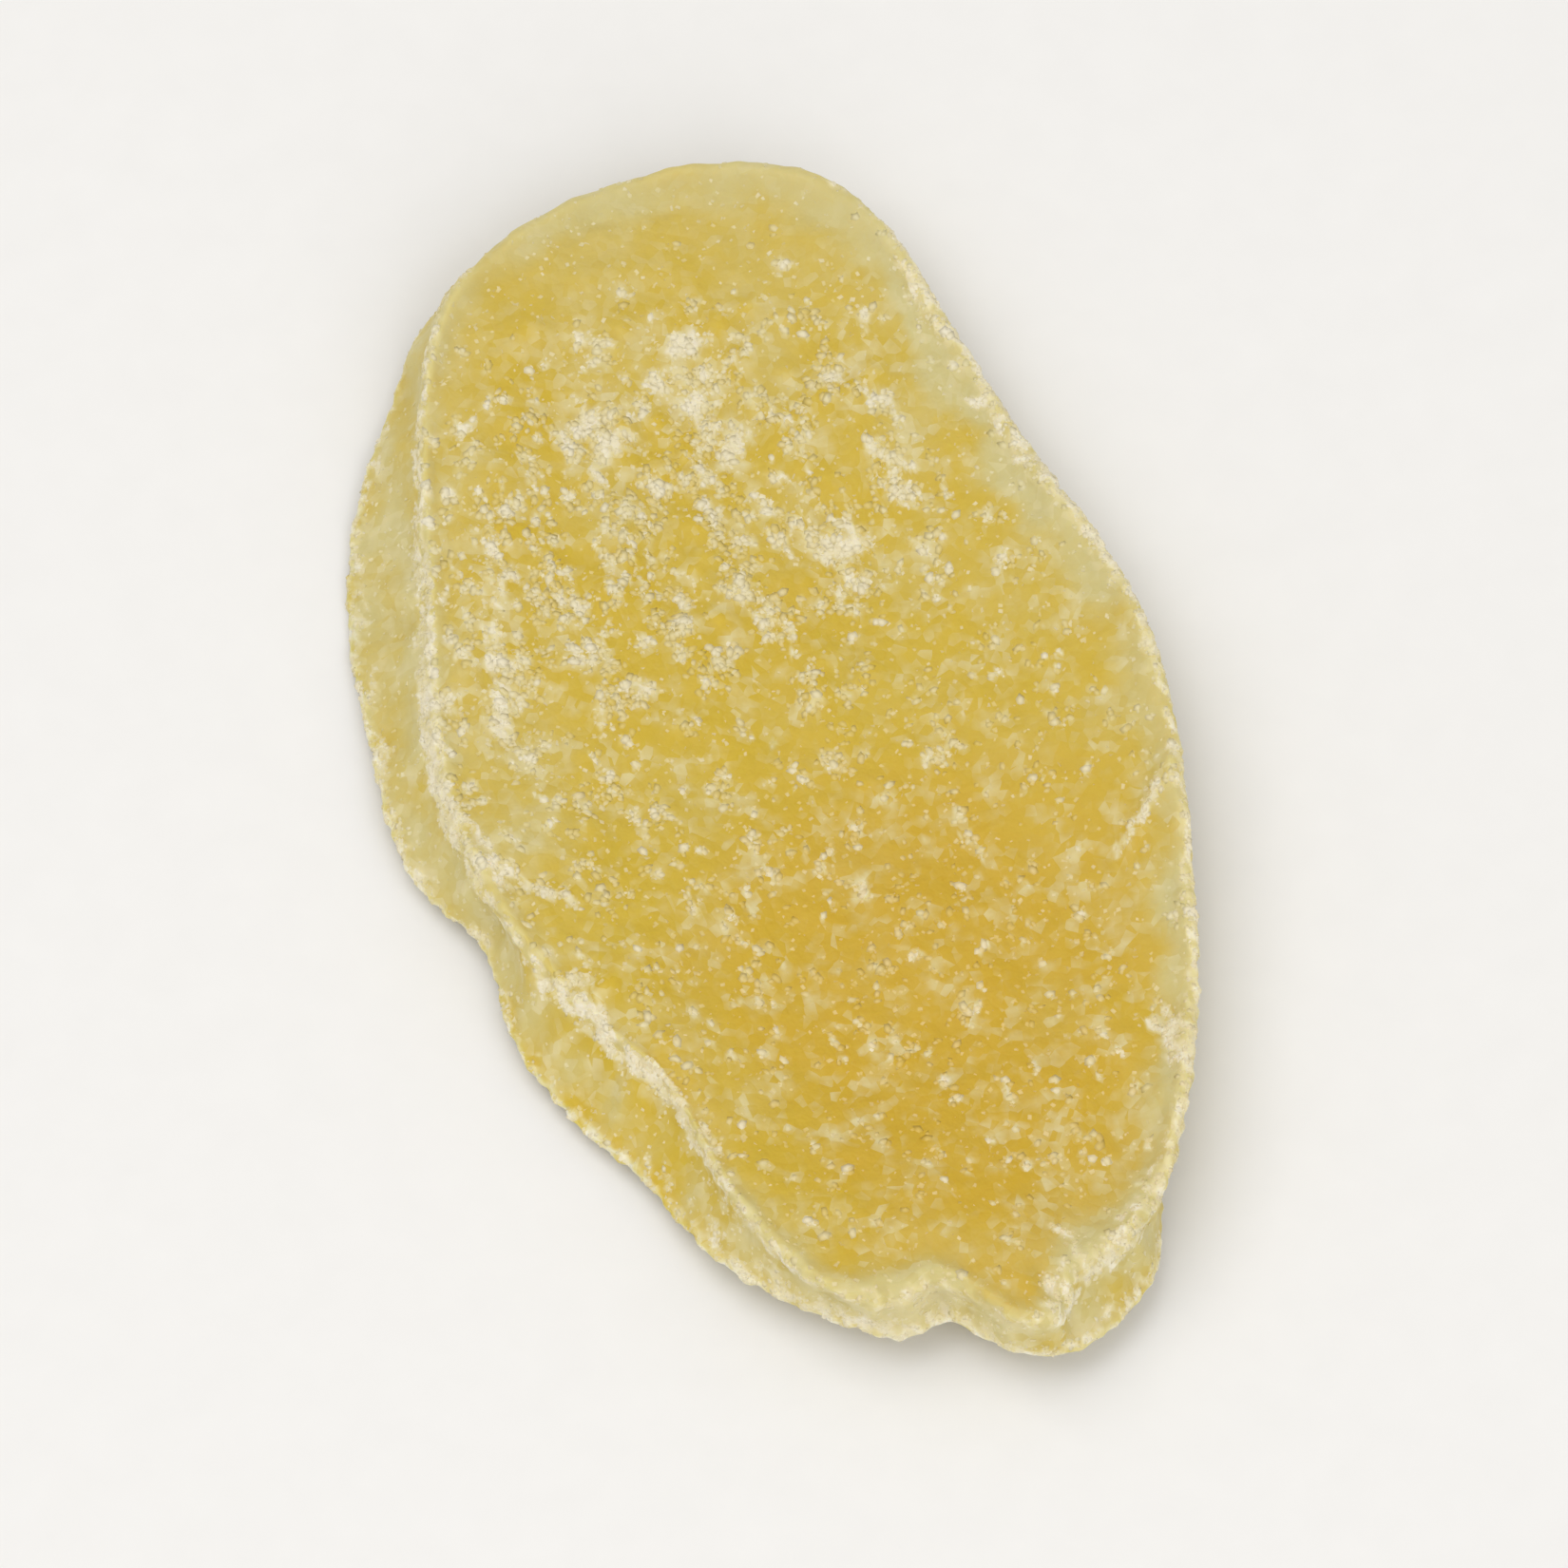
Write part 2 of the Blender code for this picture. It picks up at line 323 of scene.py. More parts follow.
def ripples(x, y, wavelength, seed, waves=20):
    """Smooth uneven relief, about -1 to 1, summed from seeded plane waves of about that wavelength."""
    draw = np.random.default_rng(seed)
    heading = draw.uniform(0, 2 * math.pi, waves)
    shift = draw.uniform(0, 2 * math.pi, waves)
    pace = 2 * math.pi / (wavelength * draw.uniform(0.75, 1.5, waves))
    total = np.zeros_like(x)
    for h, s, p in zip(heading, shift, pace):
        total += np.cos(p * (x * math.cos(h) + y * math.sin(h)) + s)
    return total / math.sqrt(waves)


def along_and_away(x, y, x0, y0, x1, y1):
    """The share of the way along a line in plan, and the distance from it. Its ends are in millimetres."""
    px, py = x / MM - x0, y / MM - y0
    dx, dy = x1 - x0, y1 - y0
    along = np.clip((px * dx + py * dy) / (dx * dx + dy * dy), 0, 1)
    return along, np.hypot(px - along * dx, py - along * dy)


def fold_relief(x, y):
    """The short folds and notches near the rim."""
    total = np.zeros_like(x)
    for *ends, half_width, height in FOLDS:
        along, away = along_and_away(x, y, *ends)
        total += height * MM * (1 - FOLD_TAPER * along) * np.exp(-((away / half_width) ** 2))
    return total


def lift(x, y):
    """How high the underside stands off the table, before what lies flat is pressed to it."""
    across = x / (WIDTH / 2)
    along = y / (LENGTH / 2)
    side = np.where(across > 0, LIFT_RIGHT, LIFT_LEFT) * np.abs(across) ** SIDE_CURL
    far = LIFT_FAR * smooth_step((along - FAR_START) / FAR_REACH)
    near = LIFT_NEAR * smooth_step((-along - NEAR_START) / NEAR_REACH)
    return side + far + near + TWIST * across * along - RESTING_DEPTH


def rim_waves(turn, waves):
    """The sum of these waves round the rim. Each closes on itself."""
    return sum(strength * np.cos(times * turn + shift) for strength, times, shift in waves)


def rim_height(ring, angle):
    """What the waves of the rim add to both faces of the slice, less and less towards the middle."""
    turn = np.radians(angle)
    from_pucker = np.abs(np.mod(angle, 360) - PUCKER_MIDDLE)
    puckered = CALM_SHARE + (1 - CALM_SHARE) * smooth_step((PUCKER_REACH - from_pucker) / PUCKER_FADE)
    long_wave = RIM_LONG_WAVE * rim_waves(turn, LONG_WAVES) * ring**3
    return long_wave + RIM_SHORT_WAVE * rim_waves(turn, SHORT_WAVES) * puckered * ring**8


left_lift, right_lift = (float(lift(side * WIDTH / 2, 0.0)) / MM for side in (-1, 1))
print("the left side lifts", round(left_lift, 2), "mm and the right side", round(right_lift, 2), "mm")

# %% [markdown]
# ## Clumps of caked sugar
#
# Where syrup stayed wet, sugar caked into low clumps a millimetre or two across. They are heights on the face
# here, because a soft swelling needs no piece of its own.

# %% Clumps
CLUMP_COUNT = 90
CLUMP_RADIUS = (0.45 * MM, 0.95 * MM)
CLUMP_HEIGHT = (0.10 * MM, 0.30 * MM)
CLUMP_MIDDLE = (1.0 * MM, 11.0 * MM)
CLUMP_SPREAD = (5.0 * MM, 6.5 * MM)
CLUMPS_END, CLUMPS_FADE = 0.97, 0.08
CLUMP_SEED = 11


def clumps():
    """(x, y, radius, height) of each clump of sugar, from a seeded draw."""
    draw = np.random.default_rng(CLUMP_SEED)
    across = draw.normal(CLUMP_MIDDLE[0], CLUMP_SPREAD[0], CLUMP_COUNT)
    along = draw.normal(CLUMP_MIDDLE[1], CLUMP_SPREAD[1], CLUMP_COUNT)
    radius = draw.uniform(*CLUMP_RADIUS, CLUMP_COUNT)
    height = draw.uniform(*CLUMP_HEIGHT, CLUMP_COUNT)
    return list(zip(across, along, radius, height))


def clump_relief(x, y, ring):
    """The height of the caked sugar, which thins out before the rim."""
    total = np.zeros_like(x)
    for cx, cy, radius, height in clumps():
        total = np.maximum(total, height * np.exp(-(((x - cx) ** 2 + (y - cy) ** 2) / radius**2)))
    return total * smooth_step((CLUMPS_END - ring) / CLUMPS_FADE)


print(len(clumps()), "clumps of caked sugar")

# %% [markdown]
# ## The three surfaces
#
# A face, an underside and the side wall between them. Each is a function that turns a place on a plain
# prism into a point of the slice. The unevenness of each is a sum of plane waves. A noise would do as well,
# but the same waves can be summed at any place, also for the solid.

# %% Surfaces
UNDER_RELIEF, UNDER_WAVE = 0.12 * MM, 6 * MM
UNDER_CALM, UNDER_FADE = 0.2, 0.5
FACE_RELIEF, FACE_WAVE = 0.11 * MM, 9 * MM
FIBRE_RELIEF, FIBRE_WAVE, FIBRE_STRETCH = 0.05 * MM, 2.6 * MM, 0.45
DISH_DEPTH, DISH_END = 0.35 * MM, 0.8
RIM_THINNING, THINNING_WIDTH = 0.35 * MM, 0.2
LIP_HEIGHT = 0.34 * MM
LIP_INSET = 0.45 * MM
LIP_WIDTH = 0.65 * MM
LIP_MEAN, LIP_UNEVEN, LIP_WAVE = 0.75, 0.3, 4 * MM
EDGE_DROP = 0.22 * MM
EDGE_WIDTH = 0.35 * MM
WALL_HOLLOW = 0.28 * MM
WALL_WRINKLE, WALL_WAVE = 0.16 * MM, 2.4 * MM


def under_height(x, y, ring, angle):
    """The underside: pressed flat where it rests, lifted and uneven elsewhere."""
    rough = UNDER_RELIEF * ripples(x, y, UNDER_WAVE, 5) * smooth_step((ring - UNDER_CALM) / UNDER_FADE)
    return np.maximum(lift(x, y) + rim_height(ring, angle) + rough, 0)


def thickness(x, y, ring):
    """How thick the slice is: dished in the middle, with shallow hollows, and thinner at the rim."""
    dish = DISH_DEPTH * (1 - smooth_step(ring / DISH_END))
    edge = RIM_THINNING * smooth_step((ring - DISH_END) / THINNING_WIDTH)
    hollows = FACE_RELIEF * ripples(x, y, FACE_WAVE, 21)
    fibres = FIBRE_RELIEF * ripples(x, y * FIBRE_STRETCH, FIBRE_WAVE, 22)
    return THICKNESS - dish - edge + hollows + fibres


def inset(x, y, ring):
    """About how far inside its edge a point of the face or of the underside lies."""
    return np.hypot(x, y) * (1 / np.maximum(ring, 0.1) - 1)


def face_height(x, y, ring, angle):
    """The face: the bend of the whole slice, its thickness and what stands on it."""
    bend = np.maximum(lift(x, y) + rim_height(ring, angle), 0)
    from_edge = inset(x, y, ring)
    rough = LIP_MEAN + LIP_UNEVEN * ripples(x, y, LIP_WAVE, 31)
    lip = LIP_HEIGHT * rough * np.exp(-(((from_edge - LIP_INSET) / LIP_WIDTH) ** 2))
    edge = EDGE_DROP * np.exp(-((from_edge / EDGE_WIDTH) ** 2))
    return bend + thickness(x, y, ring) + lip - edge + fold_relief(x, y) + clump_relief(x, y, ring)


def face_point(ring, angle):
    x, y = plan(FACE_EDGE, ring, angle)
    return np.stack([x, y, face_height(x, y, ring, angle)], axis=-1)


def under_point(ring, angle):
    x, y = plan(UNDER_EDGE, ring, angle)
    return np.stack([x, y, under_height(x, y, ring, angle)], axis=-1)


def way_round(angle):
    """About how far round the rim a direction lies, in metres."""
    return np.radians(angle) * (WIDTH + LENGTH) / 4


def wall_point(drop, angle):
    """A point on the side wall, drop of the way from the edge of the face to that of the underside."""
    rim = np.ones_like(angle)
    top, foot = face_point(rim, angle), under_point(rim, angle)
    point = top + (foot - top) * drop[:, None]
    turn = np.radians(angle)
    outward = np.stack([np.cos(turn) / WIDTH, np.sin(turn) / LENGTH, np.zeros_like(turn)], axis=-1)
    outward /= np.linalg.norm(outward, axis=-1, keepdims=True)
    wrinkle = WALL_WRINKLE * ripples(way_round(angle), drop * THICKNESS / 2, WALL_WAVE, 41)
    inward = (WALL_HOLLOW + wrinkle) * np.sin(math.pi * drop)
    return point - outward * inward[:, None]


wall_middle = wall_point(np.full_like(around, 0.5), around)
print("half way down the side wall, the height is", np.round(np.ptp(wall_middle[:, 2]) / MM, 1), "mm uneven")

# %% [markdown]
# ## A fine, even mesh
#
# A disc cut into pie slices crowds its triangles at the middle. A six-sided prism divides into triangles of
# one size instead. Its hexagons are then read as rings, and every vertex is moved to its place on the slice.

# %% Fine mesh
RINGS = 112
WALL_ROWS = 22
RIM_CROWDING = 0.22
ON_A_CAP = 0.001


def even_prism(rings, rows):
    """A six-sided prism, its caps divided into even triangles and its sides into rows."""
    prism = bmesh.new()
    bmesh.ops.create_cone(prism, cap_ends=True, cap_tris=True, segments=6, radius1=1, radius2=1, depth=2)
    upright = [e for e in prism.edges if abs(e.verts[0].co.z - e.verts[1].co.z) > 1]
    bmesh.ops.subdivide_edges(prism, edges=upright, cuts=rows - 1)
    level = [e for e in prism.edges if abs(e.verts[0].co.z - e.verts[1].co.z) < 0.01]
    bmesh.ops.subdivide_edges(prism, edges=level, cuts=rings - 1, use_grid_fill=True)
    bmesh.ops.triangulate(prism, faces=prism.faces[:])
    bmesh.ops.recalc_face_normals(prism, faces=prism.faces[:])
    return prism


def ring_and_angle(x, y):
    """Reads a six-sided prism as rings: the share of the way out, and the direction in degrees."""
    first_corner, step = 30.0, 60.0
    turn = np.degrees(np.arctan2(y, x)) - first_corner
    sector = np.floor(turn / step)
    off_middle = np.radians(turn - step * sector - step / 2)
    apothem = math.cos(math.radians(step / 2))
    ring = np.hypot(x, y) * np.cos(off_middle) / apothem
    along = 0.5 + apothem * np.tan(off_middle)
    return np.clip(ring, 0, 1), first_corner + step * (sector + along)


prism = even_prism(RINGS, WALL_ROWS)
prism.verts.index_update()
prism_points = np.array([v.co for v in prism.verts])
triangles = np.array([[v.index for v in f.verts] for f in prism.faces])
prism.free()

ring, angle = ring_and_angle(prism_points[:, 0], prism_points[:, 1])
drop = (1 - prism_points[:, 2]) / 2
on_face = drop < ON_A_CAP
on_under = drop > 1 - ON_A_CAP
closer_rings = (1 + RIM_CROWDING) * ring - RIM_CROWDING * ring**3
ring = np.where(on_face | on_under, closer_rings, 1.0)
points = wall_point(drop, angle)
points[on_face] = face_point(ring[on_face], angle[on_face])
points[on_under] = under_point(ring[on_under], angle[on_under])
middle = (points[:, :2].min(axis=0) + points[:, :2].max(axis=0)) / 2
flat_x, flat_y = points[:, 0].copy(), points[:, 1].copy()
print(len(points), "points,", len(triangles), "triangles")

# %% [markdown]
# ## Where the frost lies
#
# Two things pale a candied slice. Haze is a dry skin of sugar, thin enough to see through, and it is thickest
# along the lip and on the side wall. Powder is sugar that lies on top: a line along both edges, streaks near
# the rim, faint patches on the far half. Both change with the direction along the rim, so most of them are
# short lists of (degrees, value). An image would need the slice unwrapped, and these stay easy to change.

# %% Haze and powder by region
# along the rim: degrees, and a share or a distance in millimetres
LIP_HAZE = (
    (0, 0.85), (22, 1.0), (34, 1.0), (45, 0.92), (55, 0.80), (90, 0.72), (110, 0.70), (128, 0.75),
    (152, 0.80), (190, 0.75), (222, 0.55), (254, 1.0), (290, 1.0), (327, 0.90),
)
LIP_REACH = (
    (0, 1.3), (22, 2.6), (34, 2.6), (45, 2.0), (55, 2.0), (90, 1.9), (110, 1.2), (128, 1.0), (152, 0.8),
    (190, 0.8), (222, 0.6), (240, 1.2), (254, 1.5), (266, 0.7), (290, 1.1), (327, 1.6),
)
INNER_HAZE = (
    (0, 0.38), (30, 0.45), (55, 0.52), (90, 0.56), (128, 0.50), (152, 0.50), (172, 0.65), (188, 0.60),
    (205, 0.50), (222, 0.45), (240, 0.55), (252, 0.62), (266, 0.45), (300, 0.52), (327, 0.40),
)
INNER_REACH = (
    (0, 3.5), (55, 5.5), (90, 6.0), (128, 3.5), (152, 3.0), (190, 3.0), (222, 2.5), (270, 1.8), (300, 2.8),
    (327, 2.4),
)
WALL_HAZE = (
    (0, 0.65), (90, 0.62), (130, 0.68), (152, 0.66), (190, 0.64), (222, 0.16), (250, 0.88), (266, 0.82),
    (284, 0.62), (330, 0.68),
)
LINE_POWDER = (
    (0, 0.95), (15, 1.00), (24, 1.15), (34, 1.10), (44, 0.60), (55, 0.15), (100, 0.10), (125, 0.65),
    (140, 0.75), (154, 0.80), (165, 1.00), (173, 1.40), (181, 1.50), (190, 0.45), (205, 0.95), (222, 0.80),
    (236, 0.75), (250, 0.42), (270, 0.20), (285, 0.30), (305, 0.42), (330, 0.75),
)
LINE_WIDTH = (
    (0, 0.42), (12, 0.45), (22, 0.75), (34, 1.00), (42, 0.65), (52, 0.30), (100, 0.30), (128, 0.27),
    (150, 0.36), (175, 0.36), (195, 0.26), (210, 0.32), (235, 0.34), (262, 0.60), (290, 0.50), (315, 0.42),
)
FOOT_POWDER = (
    (0, 0.30), (90, 0.30), (130, 0.45), (160, 0.60), (175, 0.90), (195, 0.65), (222, 0.65), (236, 0.85),
    (262, 0.80), (290, 0.48), (305, 0.38), (335, 0.30),
)
FOOT_WIDTH = ((0, 0.40), (150, 0.50), (222, 0.50), (240, 0.80), (265, 0.90), (290, 0.90), (310, 0.40))
WALL_POWDER = (
    (0, 0.10), (140, 0.10), (200, 0.14), (222, 0.10), (240, 0.28), (252, 0.46), (266, 0.42), (280, 0.18),
    (308, 0.10), (335, 0.10),
)
# patches: middle, half widths and share
HAZE_PATCHES = (
    (0.5, 13.0, 8.0, 8.0, 0.10),
    (-8.0, 7.0, 3.5, 7.0, 0.08),
    (-8.9, 0.6, 2.6, 3.6, 0.35),
    (3.6, -24.6, 3.2, 1.8, 0.35),
)
POWDER_PATCHES = (
    (2.0, 13.0, 7.0, 6.0, 0.04),
    (-6.0, 5.0, 4.0, 7.0, 0.05),
    (1.6, 16.0, 2.2, 3.0, 0.22),
    (-2.3, 15.8, 1.8, 3.0, 0.29),
    (0.6, 18.4, 1.8, 1.0, 0.12),
    (-8.7, 1.4, 1.3, 1.9, 0.20),
    (7.2, 13.8, 1.7, 2.2, 0.12),
    (5.4, 7.2, 2.2, 1.3, 0.12),
    (-8.2, 8.4, 1.1, 3.2, 0.20),
    (-9.7, 4.2, 1.1, 1.8, 0.22),
)
# streaks: start, end, half width and share
POWDER_STREAKS = (
    (-7.6, 11.3, -8.9, 7.4, 0.55, 0.40),
    (-9.2, 6.6, -10.0, 3.0, 0.55, 0.40),
    (-5.3, 8.8, -6.0, 5.2, 0.35, 0.35),
    (-11.3, -2.8, -9.3, -4.5, 0.32, 0.70),
    (-12.3, 0.6, -11.8, -2.6, 0.35, 0.80),
    (-11.4, -7.3, -9.9, -8.0, 0.38, 0.90),
    (-10.4, -8.8, -9.8, -10.0, 0.42, 0.90),
    (-8.7, -12.2, -8.1, -14.0, 0.24, 0.80),
    (-7.6, -15.0, -7.6, -17.0, 0.24, 0.80),
    (10.3, -16.3, 10.5, -18.9, 0.60, 0.90),
    (9.9, -20.6, 7.6, -23.0, 0.40, 0.70),
    (10.8, -9.2, 13.2, -7.2, 0.24, 1.00),
    (3.4, -25.9, 6.6, -24.6, 0.40, 0.50),
    (2.2, -26.9, 3.0, -28.2, 0.35, 0.60),
    (2.4, -25.6, 3.5, -27.1, 0.35, 0.70),
    (3.6, -23.4, 4.0, -24.6, 0.35, 0.50),
    (5.0, -25.2, 7.6, -22.6, 0.45, 0.30),
)


def union(shares):
    """How much shows where several layers overlap."""
    bare = np.ones_like(shares[0])
    for share in shares:
        bare = bare * (1 - np.clip(share, 0, 1))
    return 1 - bare


def uneven(points, size, seed, waves=24):
    """Smooth unevenness in space, mostly between -1 and 1, with crests about that far apart."""
    draw = np.random.default_rng(seed)
    heading = draw.normal(size=(waves, 3))
    heading /= np.linalg.norm(heading, axis=1, keepdims=True)
    pace = 2 * math.pi / (size * draw.uniform(0.7, 1.4, waves))
    shift = draw.uniform(0, 2 * math.pi, waves)
    return np.cos(points @ (heading * pace[:, None]).T + shift).sum(axis=1) * math.sqrt(2 / waves) * 0.8


patches = len(HAZE_PATCHES) + len(POWDER_PATCHES)
print(patches, "patches and", len(POWDER_STREAKS), "streaks")

# %% [markdown]
# ## Flecks of powder
#
# Close up, the dusting is made of flecks: dots, short bent touches, and ragged patches up to two millimetres
# across where they crowd together on the far half. Noise alone gives round blots. Small strokes give the
# directions and the sizes that the real ones have. The most striking ones are listed one by one. The rest is
# a seeded draw, thinned by slow ripples, so that crowded and bare spots alternate as they do on the real
# slice.
# The larger ones whiten the flesh, and all but the faintest get crystals further down.

# %% Flecks
SEEN_FLECKS = (
    # middle, heading in degrees, half length, strength
    (2.2, 17.4, 20, 0.95, 1.0), (0.6, 16.2, 100, 0.55, 0.9), (1.7, 14.9, 80, 0.70, 0.9),
    (2.5, 12.8, 60, 1.10, 1.0), (-1.8, 14.3, 10, 0.95, 1.0), (7.1, 14.0, 90, 0.90, 0.85),
    (9.0, 16.1, 60, 0.55, 0.7), (6.8, 19.3, 0, 0.50, 0.7), (-1.6, 18.8, 80, 0.50, 0.8),
    (-2.4, 15.5, 90, 0.55, 0.9), (8.0, 8.6, 128, 1.00, 0.9), (4.9, 7.2, 146, 1.25, 0.95),
    (5.5, 5.5, 60, 0.50, 0.85), (-3.3, 5.6, 0, 0.50, 1.0), (-3.8, 3.6, 0, 0.50, 1.0),
    (-2.5, 1.8, 0, 0.35, 0.9), (-5.1, 7.8, 50, 0.65, 0.95), (-7.4, 10.0, 80, 0.60, 0.8),
    (-9.1, 6.4, 70, 0.70, 0.85), (-9.8, 3.9, 75, 0.80, 0.9), (-0.2, 4.1, 60, 0.60, 0.7),
    (1.7, 8.8, 0, 0.45, 0.95), (0.7, 10.6, 100, 0.55, 0.8), (1.9, -1.5, 95, 0.80, 0.6),
    (0.0, -5.7, 70, 0.35, 1.0), (1.2, -7.1, 85, 0.55, 1.0), (3.3, -13.4, 60, 0.50, 0.9),
    (3.4, -20.5, 30, 0.40, 0.95), (3.7, -17.4, 100, 0.35, 0.95), (-10.1, -3.8, 140, 0.70, 0.8),
    (5.4, -2.5, 60, 0.40, 0.7), (1.7, -16.9, 45, 0.30, 0.85),
)
FLECK_GROUPS = (
    # how many, middle, spread, shortest and longest half length, faintest and strongest
    (900, (1.0, 12.0), (5.6, 5.6), (0.15, 0.60), (0.35, 0.95)),
    (1900, (-4.2, 7.0), (5.6, 6.5), (0.13, 0.45), (0.30, 0.90)),
    (7500, (-0.5, -4.0), (10.0, 14.0), (0.12, 0.28), (0.15, 0.90)),
)
BARE_SPOTS = (
    # middle, half widths, how much barer
    (-2.0, 0.9, 3.6, 2.9, 1.0),
    (6.0, 1.6, 1.6, 1.5, 0.7),
)
FLECK_SEED = 63
FLECK_BEND = 0.30
FLECK_ASPECT = 0.65
FLECK_REACH = 2.2
CROWD_WAVE = 2.8
CROWD_BLUR = 0.60
BARE_LEVEL = 0.1
FLECKS_END, END_BLUR = 19.0, 1.5
SMALLEST_BLOT = 0.14


def flecks():
    """(x, y, heading, half length, strength) of each fleck on the face, in millimetres."""
    draw = np.random.default_rng(FLECK_SEED)
    rows = [np.array(SEEN_FLECKS) * (1, 1, math.pi / 180, 1, 1)]
    for count, middle, spread, length, strength in FLECK_GROUPS:
        x = draw.normal(middle[0], spread[0], count)
        y = draw.normal(middle[1], spread[1], count)
        bare = BARE_LEVEL
        for spot_x, spot_y, rx, ry, share in BARE_SPOTS:
            bare = bare + share * np.exp(-(((x - spot_x) / rx) ** 2) - ((y - spot_y) / ry) ** 2)
        crowded = ripples(x, y, CROWD_WAVE, 69, 40) + draw.normal(0, CROWD_BLUR, count) > bare
        kept = crowded & (y < FLECKS_END + draw.normal(0, END_BLUR, count))
        rows.append(np.stack([
            x,
            y,
            draw.uniform(0, math.pi, count),
            length[0] + (length[1] - length[0]) * draw.uniform(0, 1, count) ** 2,
            strength[0] + (strength[1] - strength[0]) * draw.uniform(0, 1, count) ** 2.5,
        ], axis=1)[kept])
    return np.concatenate(rows)


def face_tree(x, y, on_face):
    """A search tree over the face, in plan, in millimetres."""
    at = np.nonzero(on_face)[0]
    tree = KDTree(len(at))
    for k in at:
        tree.insert((x[k] / MM, y[k] / MM, 0), k)
    tree.balance()
    return tree


def fleck_frost(x, y, tree):
    """How much the flecks whiten each point of the face."""
    total = np.zeros_like(x)
    for cx, cy, heading, half_length, strength in fleck_rows:
        if half_length < SMALLEST_BLOT:
            continue
        near = [k for _, k, _ in tree.find_range((cx, cy, 0), FLECK_REACH * half_length)]
        px, py = x[near] / MM - cx, y[near] / MM - cy
        along = px * math.cos(heading) + py * math.sin(heading)
        aside = py * math.cos(heading) - px * math.sin(heading) + FLECK_BEND * along**2 / half_length
        half_width = FLECK_ASPECT * half_length
        share = strength * np.exp(-((along / half_length) ** 2) - (aside / half_width) ** 2)
        total[near] = np.maximum(total[near], share)
    return total


fleck_rows = flecks()
print(len(fleck_rows), "flecks")

# %% [markdown]
# ## Haze and powder at every vertex
#
# On the real slice the same sugar whitens, roughens and stands proud. So the layers are laid over each other
# here once, as one number for haze and one for powder at every vertex, and the relief, the crystals and the
# colour all read them. A wandering width and ragged edges keep the lines from looking drawn.

# %% Distances along the surface
from_arris = np.where(on_face, inset(flat_x, flat_y, ring), drop * THICKNESS)
from_foot = np.where(on_under, inset(flat_x, flat_y, ring), (1 - drop) * THICKNESS)
wander = 1 + 0.35 * uneven(points, 2.4 * MM, 61)
blotch = smooth_step((uneven(points, 1.1 * MM, 62) + 0.7) / 1.4)
print("from the edge of the face,", round(float(from_arris.max()) / MM, 1), "mm at most")

# %% Haze
LIP_FADE = 1.1 * MM


def ellipses(rows):
    """A soft ellipse on the face for each row of middle, half widths and share. Millimetres."""
    return [
        share * np.exp(-(((flat_x / MM - x) / rx) ** 2 + ((flat_y / MM - y) / ry) ** 2)) * on_face
        for x, y, rx, ry, share in rows
    ]


lip_reach = round_curve(LIP_REACH, angle) * MM * wander**0.6
lip_share = smooth_step((lip_reach + LIP_FADE - from_arris) / (2 * LIP_FADE))
inner_share = np.exp(-from_arris / (round_curve(INNER_REACH, angle) * MM))
face_haze = union([
    round_curve(LIP_HAZE, angle) * lip_share,
    round_curve(INNER_HAZE, angle) * inner_share,
    *ellipses(HAZE_PATCHES),
])
face_haze = face_haze + 0.10 * uneven(points, 5 * MM, 65)
wall_haze = round_curve(WALL_HAZE, angle) + 0.15 * uneven(points, 2.0 * MM, 64)
under_haze = 0.65 + 0.15 * uneven(points, 4 * MM, 66)
haze = np.clip(np.where(on_under, under_haze, np.where(on_face, face_haze, wall_haze)), 0, 1)
print("haze on the face", round(float(haze[on_face].mean()), 2))

# %% Powder
LINE_INSET = 0.2 * MM
STREAK_DEPTH = 0.35
FACE_POWDER, UNDER_POWDER = 0.04, 0.02
RAGGED, RAGGED_WAVE = 0.22, 0.55 * MM


def torn(share, ragged, start, rise):
    """The share with a steeper, ragged edge, which begins at that start."""
    return smooth_step((share + ragged * smooth_step(share / 0.3) - start) / rise)


def stroke(*ends, half_width):
    """1 along a line in plan, fading to 0 past its half width. Millimetres."""
    return np.exp(-((along_and_away(flat_x, flat_y, *ends)[1] / half_width) ** 2))


line_width = round_curve(LINE_WIDTH, angle) * MM * wander
line = round_curve(LINE_POWDER, angle) * np.exp(-(((from_arris - LINE_INSET) / line_width) ** 2))
foot_width = round_curve(FOOT_WIDTH, angle) * MM * wander
foot_line = round_curve(FOOT_POWDER, angle) * np.exp(-((from_foot / foot_width) ** 2))
streaks = [
    share * stroke(*ends, half_width=half_width) * (drop < STREAK_DEPTH)
    for *ends, half_width, share in POWDER_STREAKS
]
ragged = RAGGED * uneven(points, RAGGED_WAVE, 68)
crust_line = torn(union([line, foot_line] + streaks), 1.6 * ragged, 0.12, 0.7)
crust_line *= 0.65 + 0.35 * blotch
face_points = face_tree(flat_x, flat_y, on_face)
touches = 0.9 * torn(fleck_frost(flat_x, flat_y, face_points), ragged, 0.1, 0.75)
film = np.where(on_under, UNDER_POWDER, round_curve(WALL_POWDER, angle))
film = np.where(on_face, FACE_POWDER, film)
frost = union([crust_line, touches, film] + ellipses(POWDER_PATCHES))
print("powder on the face", round(float(frost[on_face].mean()), 2))

# %% [markdown]
# ## How dusty and how amber
#
# The far end of the slice is clean and evenly pale, and the near middle is where the flesh is darkest. Two
# more numbers at every vertex carry this to the finish: how much it mottles, and how amber it is.

# %% Dust and amber
DUST_END, DUST_FADE, LEAST_DUST, WALL_DUST = 15, 6, 0.5, 0.9
AMBER_MIDDLE, AMBER_HALF_WIDTHS = (1.5, -14), (10, 13)

